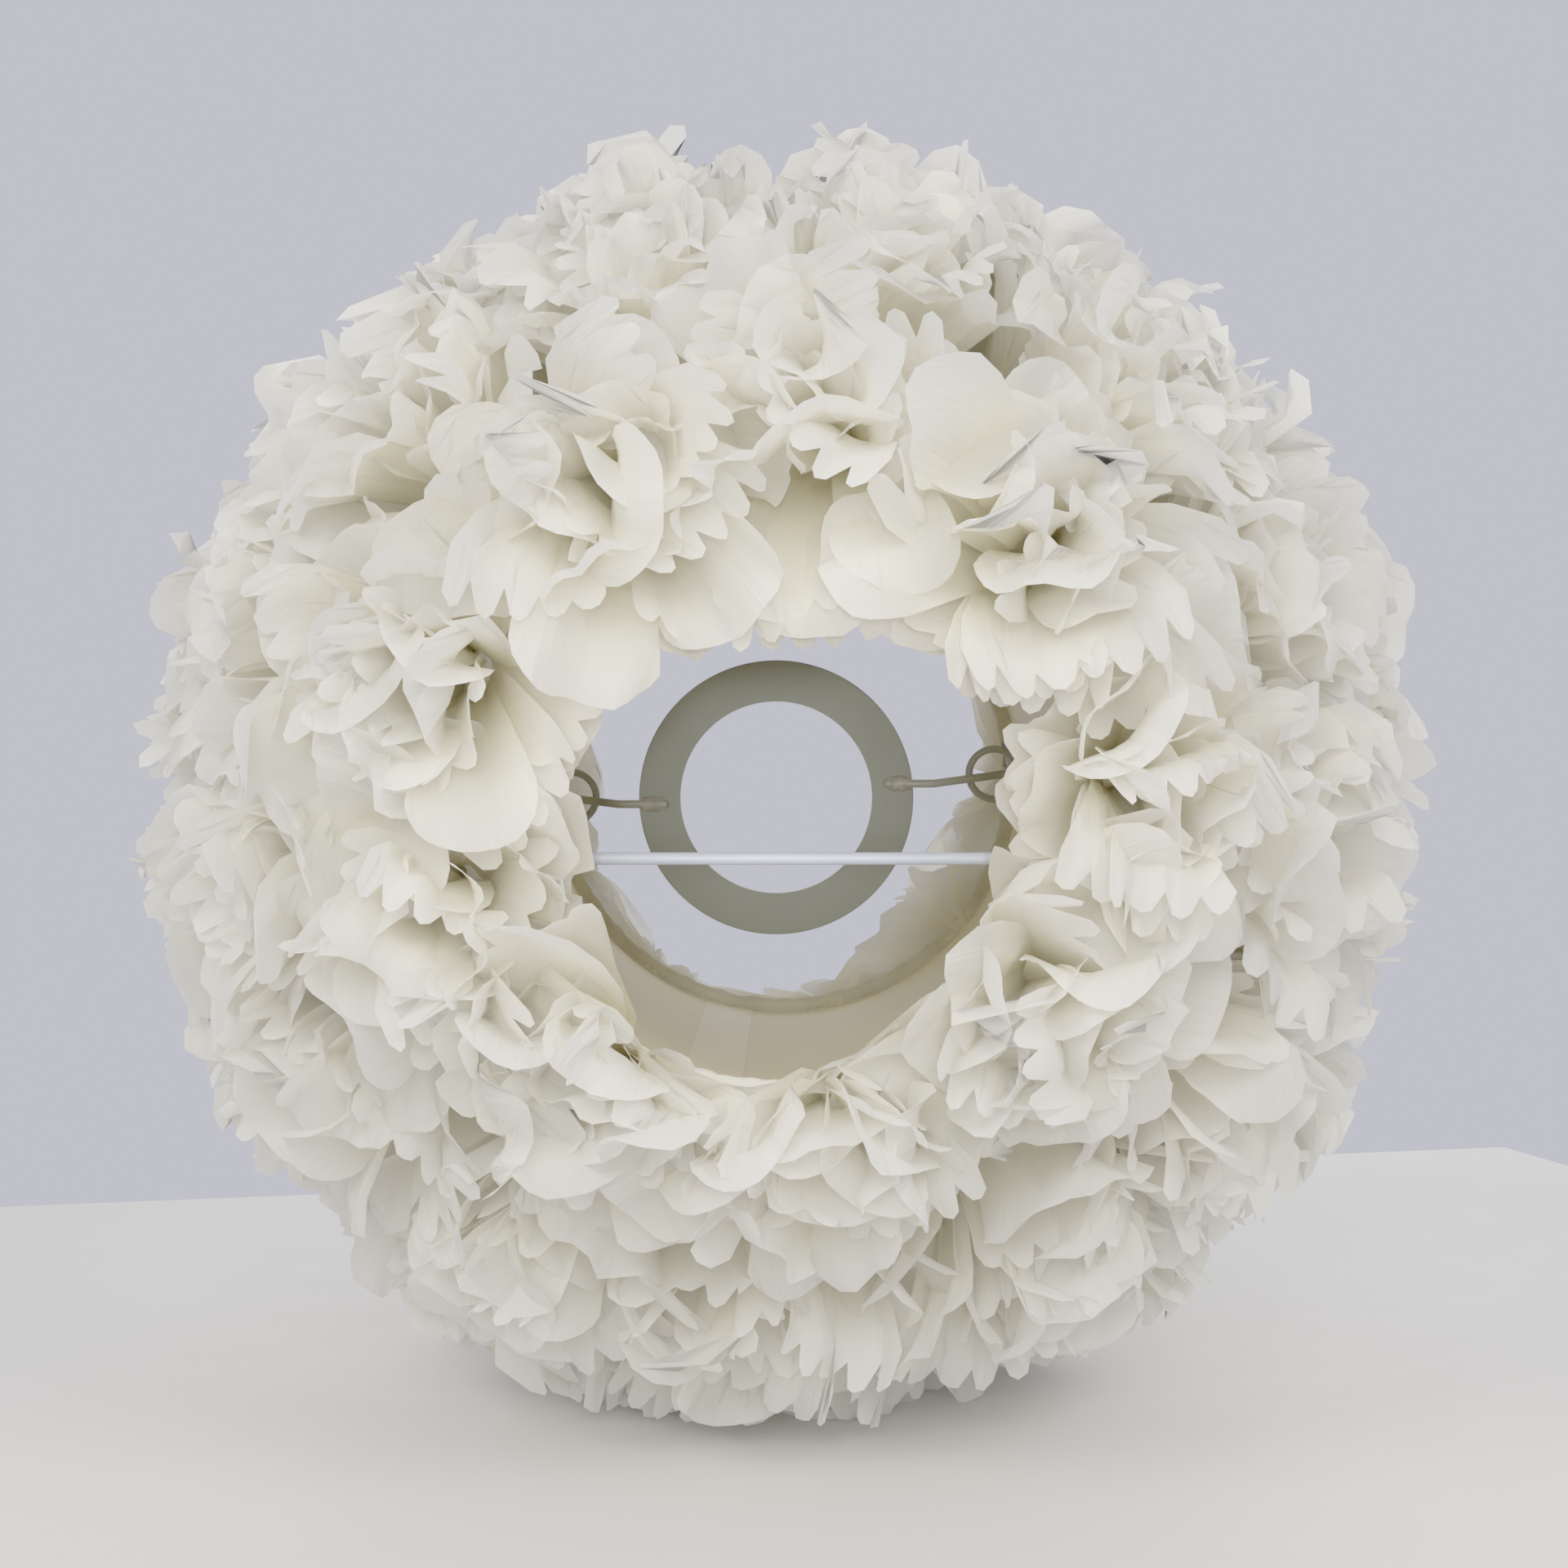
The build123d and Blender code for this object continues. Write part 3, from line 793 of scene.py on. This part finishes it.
tablePlaces[:, 2] = np.where(tablePlaces[:, 2] > 0, floorHeight,
                             floorHeight - stage["tableSize"][2])
moveCorners(table, tablePlaces)
table.data.materials.append(surfaceFinish("table top", stage["table"], stage["tablePatch"],
                                          roughness=0.55, patch=6, grain=80, bumpDepth=0.0002,
                                          bumpStrength=0.15))

world = bpy.data.worlds.new("wall light")
world.use_nodes = True
world.node_tree.nodes["Background"].inputs["Color"].default_value = (*stage["wall"], 1)
world.node_tree.nodes["Background"].inputs["Strength"].default_value = 1.0
scene = bpy.context.scene
scene.world = world
scene.view_settings.view_transform = "Standard"
scene.view_settings.gamma = stage["gamma"]
scene.cycles.diffuse_bounces = 8  # white cloth passes light on many times
scene.cycles.max_bounces = 10

# square soft lights: place and aim in metres, side length, watts, colour
softLights = {
    "ceiling": ((0.05, -0.6, 1.45), (0, -0.06, 0), 1.4, 1.0, (1.0, 0.99, 0.96)),
    "front left": ((-1.15, -1.1, 1.1), (0, -0.1, -0.05), 0.8, 7.5, (1.0, 0.995, 0.98)),
    "front right": ((1.15, -1.1, 1.1), (0, -0.1, -0.05), 0.8, 7.5, (1.0, 0.995, 0.98)),
    "low front": ((-0.1, -1.7, 0.6), (0, -0.1, -0.06), 0.9, 7.0, (1.0, 0.985, 0.93)),
    "behind": ((0.1, 1.5, 0.5), (0, -0.06, 0), 1.4, 5.0, (1.0, 0.985, 0.95)),
}
mouthLight = {"place": (0.0017, -0.75, 0.012), "tilt": -0.012, "power": 6.0, "angle": 7.5,
              "blend": 0.6, "softness": 0.03}
view = {"lens": 52.5, "sensor": 36.0, "place": (0.0017, -0.501, 0.0029)}


def addHolder(name, data, place):
    holder = bpy.data.objects.new(name, data)
    bpy.context.collection.objects.link(holder)
    holder.location = place
    return holder


for name, (place, aim, size, power, colour) in softLights.items():
    lamp = bpy.data.lights.new(name, "AREA")
    lamp.shape = "SQUARE"
    lamp.size = size
    lamp.energy = power
    lamp.color = colour
    holder = addHolder(name, lamp, place)
    holder.rotation_mode = "QUATERNION"
    holder.rotation_quaternion = (Vector(aim) - Vector(place)).to_track_quat("-Z", "Y")
    holder.visible_camera = name != "behind"

# a narrow light through the mouth, onto the ring and the far rim
inner = bpy.data.lights.new("into the mouth", "SPOT")
inner.energy = mouthLight["power"]
inner.spot_size = math.radians(mouthLight["angle"])
inner.spot_blend = mouthLight["blend"]
inner.shadow_soft_size = mouthLight["softness"]
innerHolder = addHolder("into the mouth", inner, mouthLight["place"])
innerHolder.rotation_euler = (math.pi / 2 + mouthLight["tilt"], 0, 0)
innerHolder.visible_camera = False

camera = bpy.data.cameras.new("camera")
camera.lens = view["lens"]
camera.sensor_width = view["sensor"]
cameraHolder = addHolder("camera", camera, view["place"])
cameraHolder.rotation_euler = (math.pi / 2, 0, 0)
scene.camera = cameraHolder
print("stage, lights and camera made")
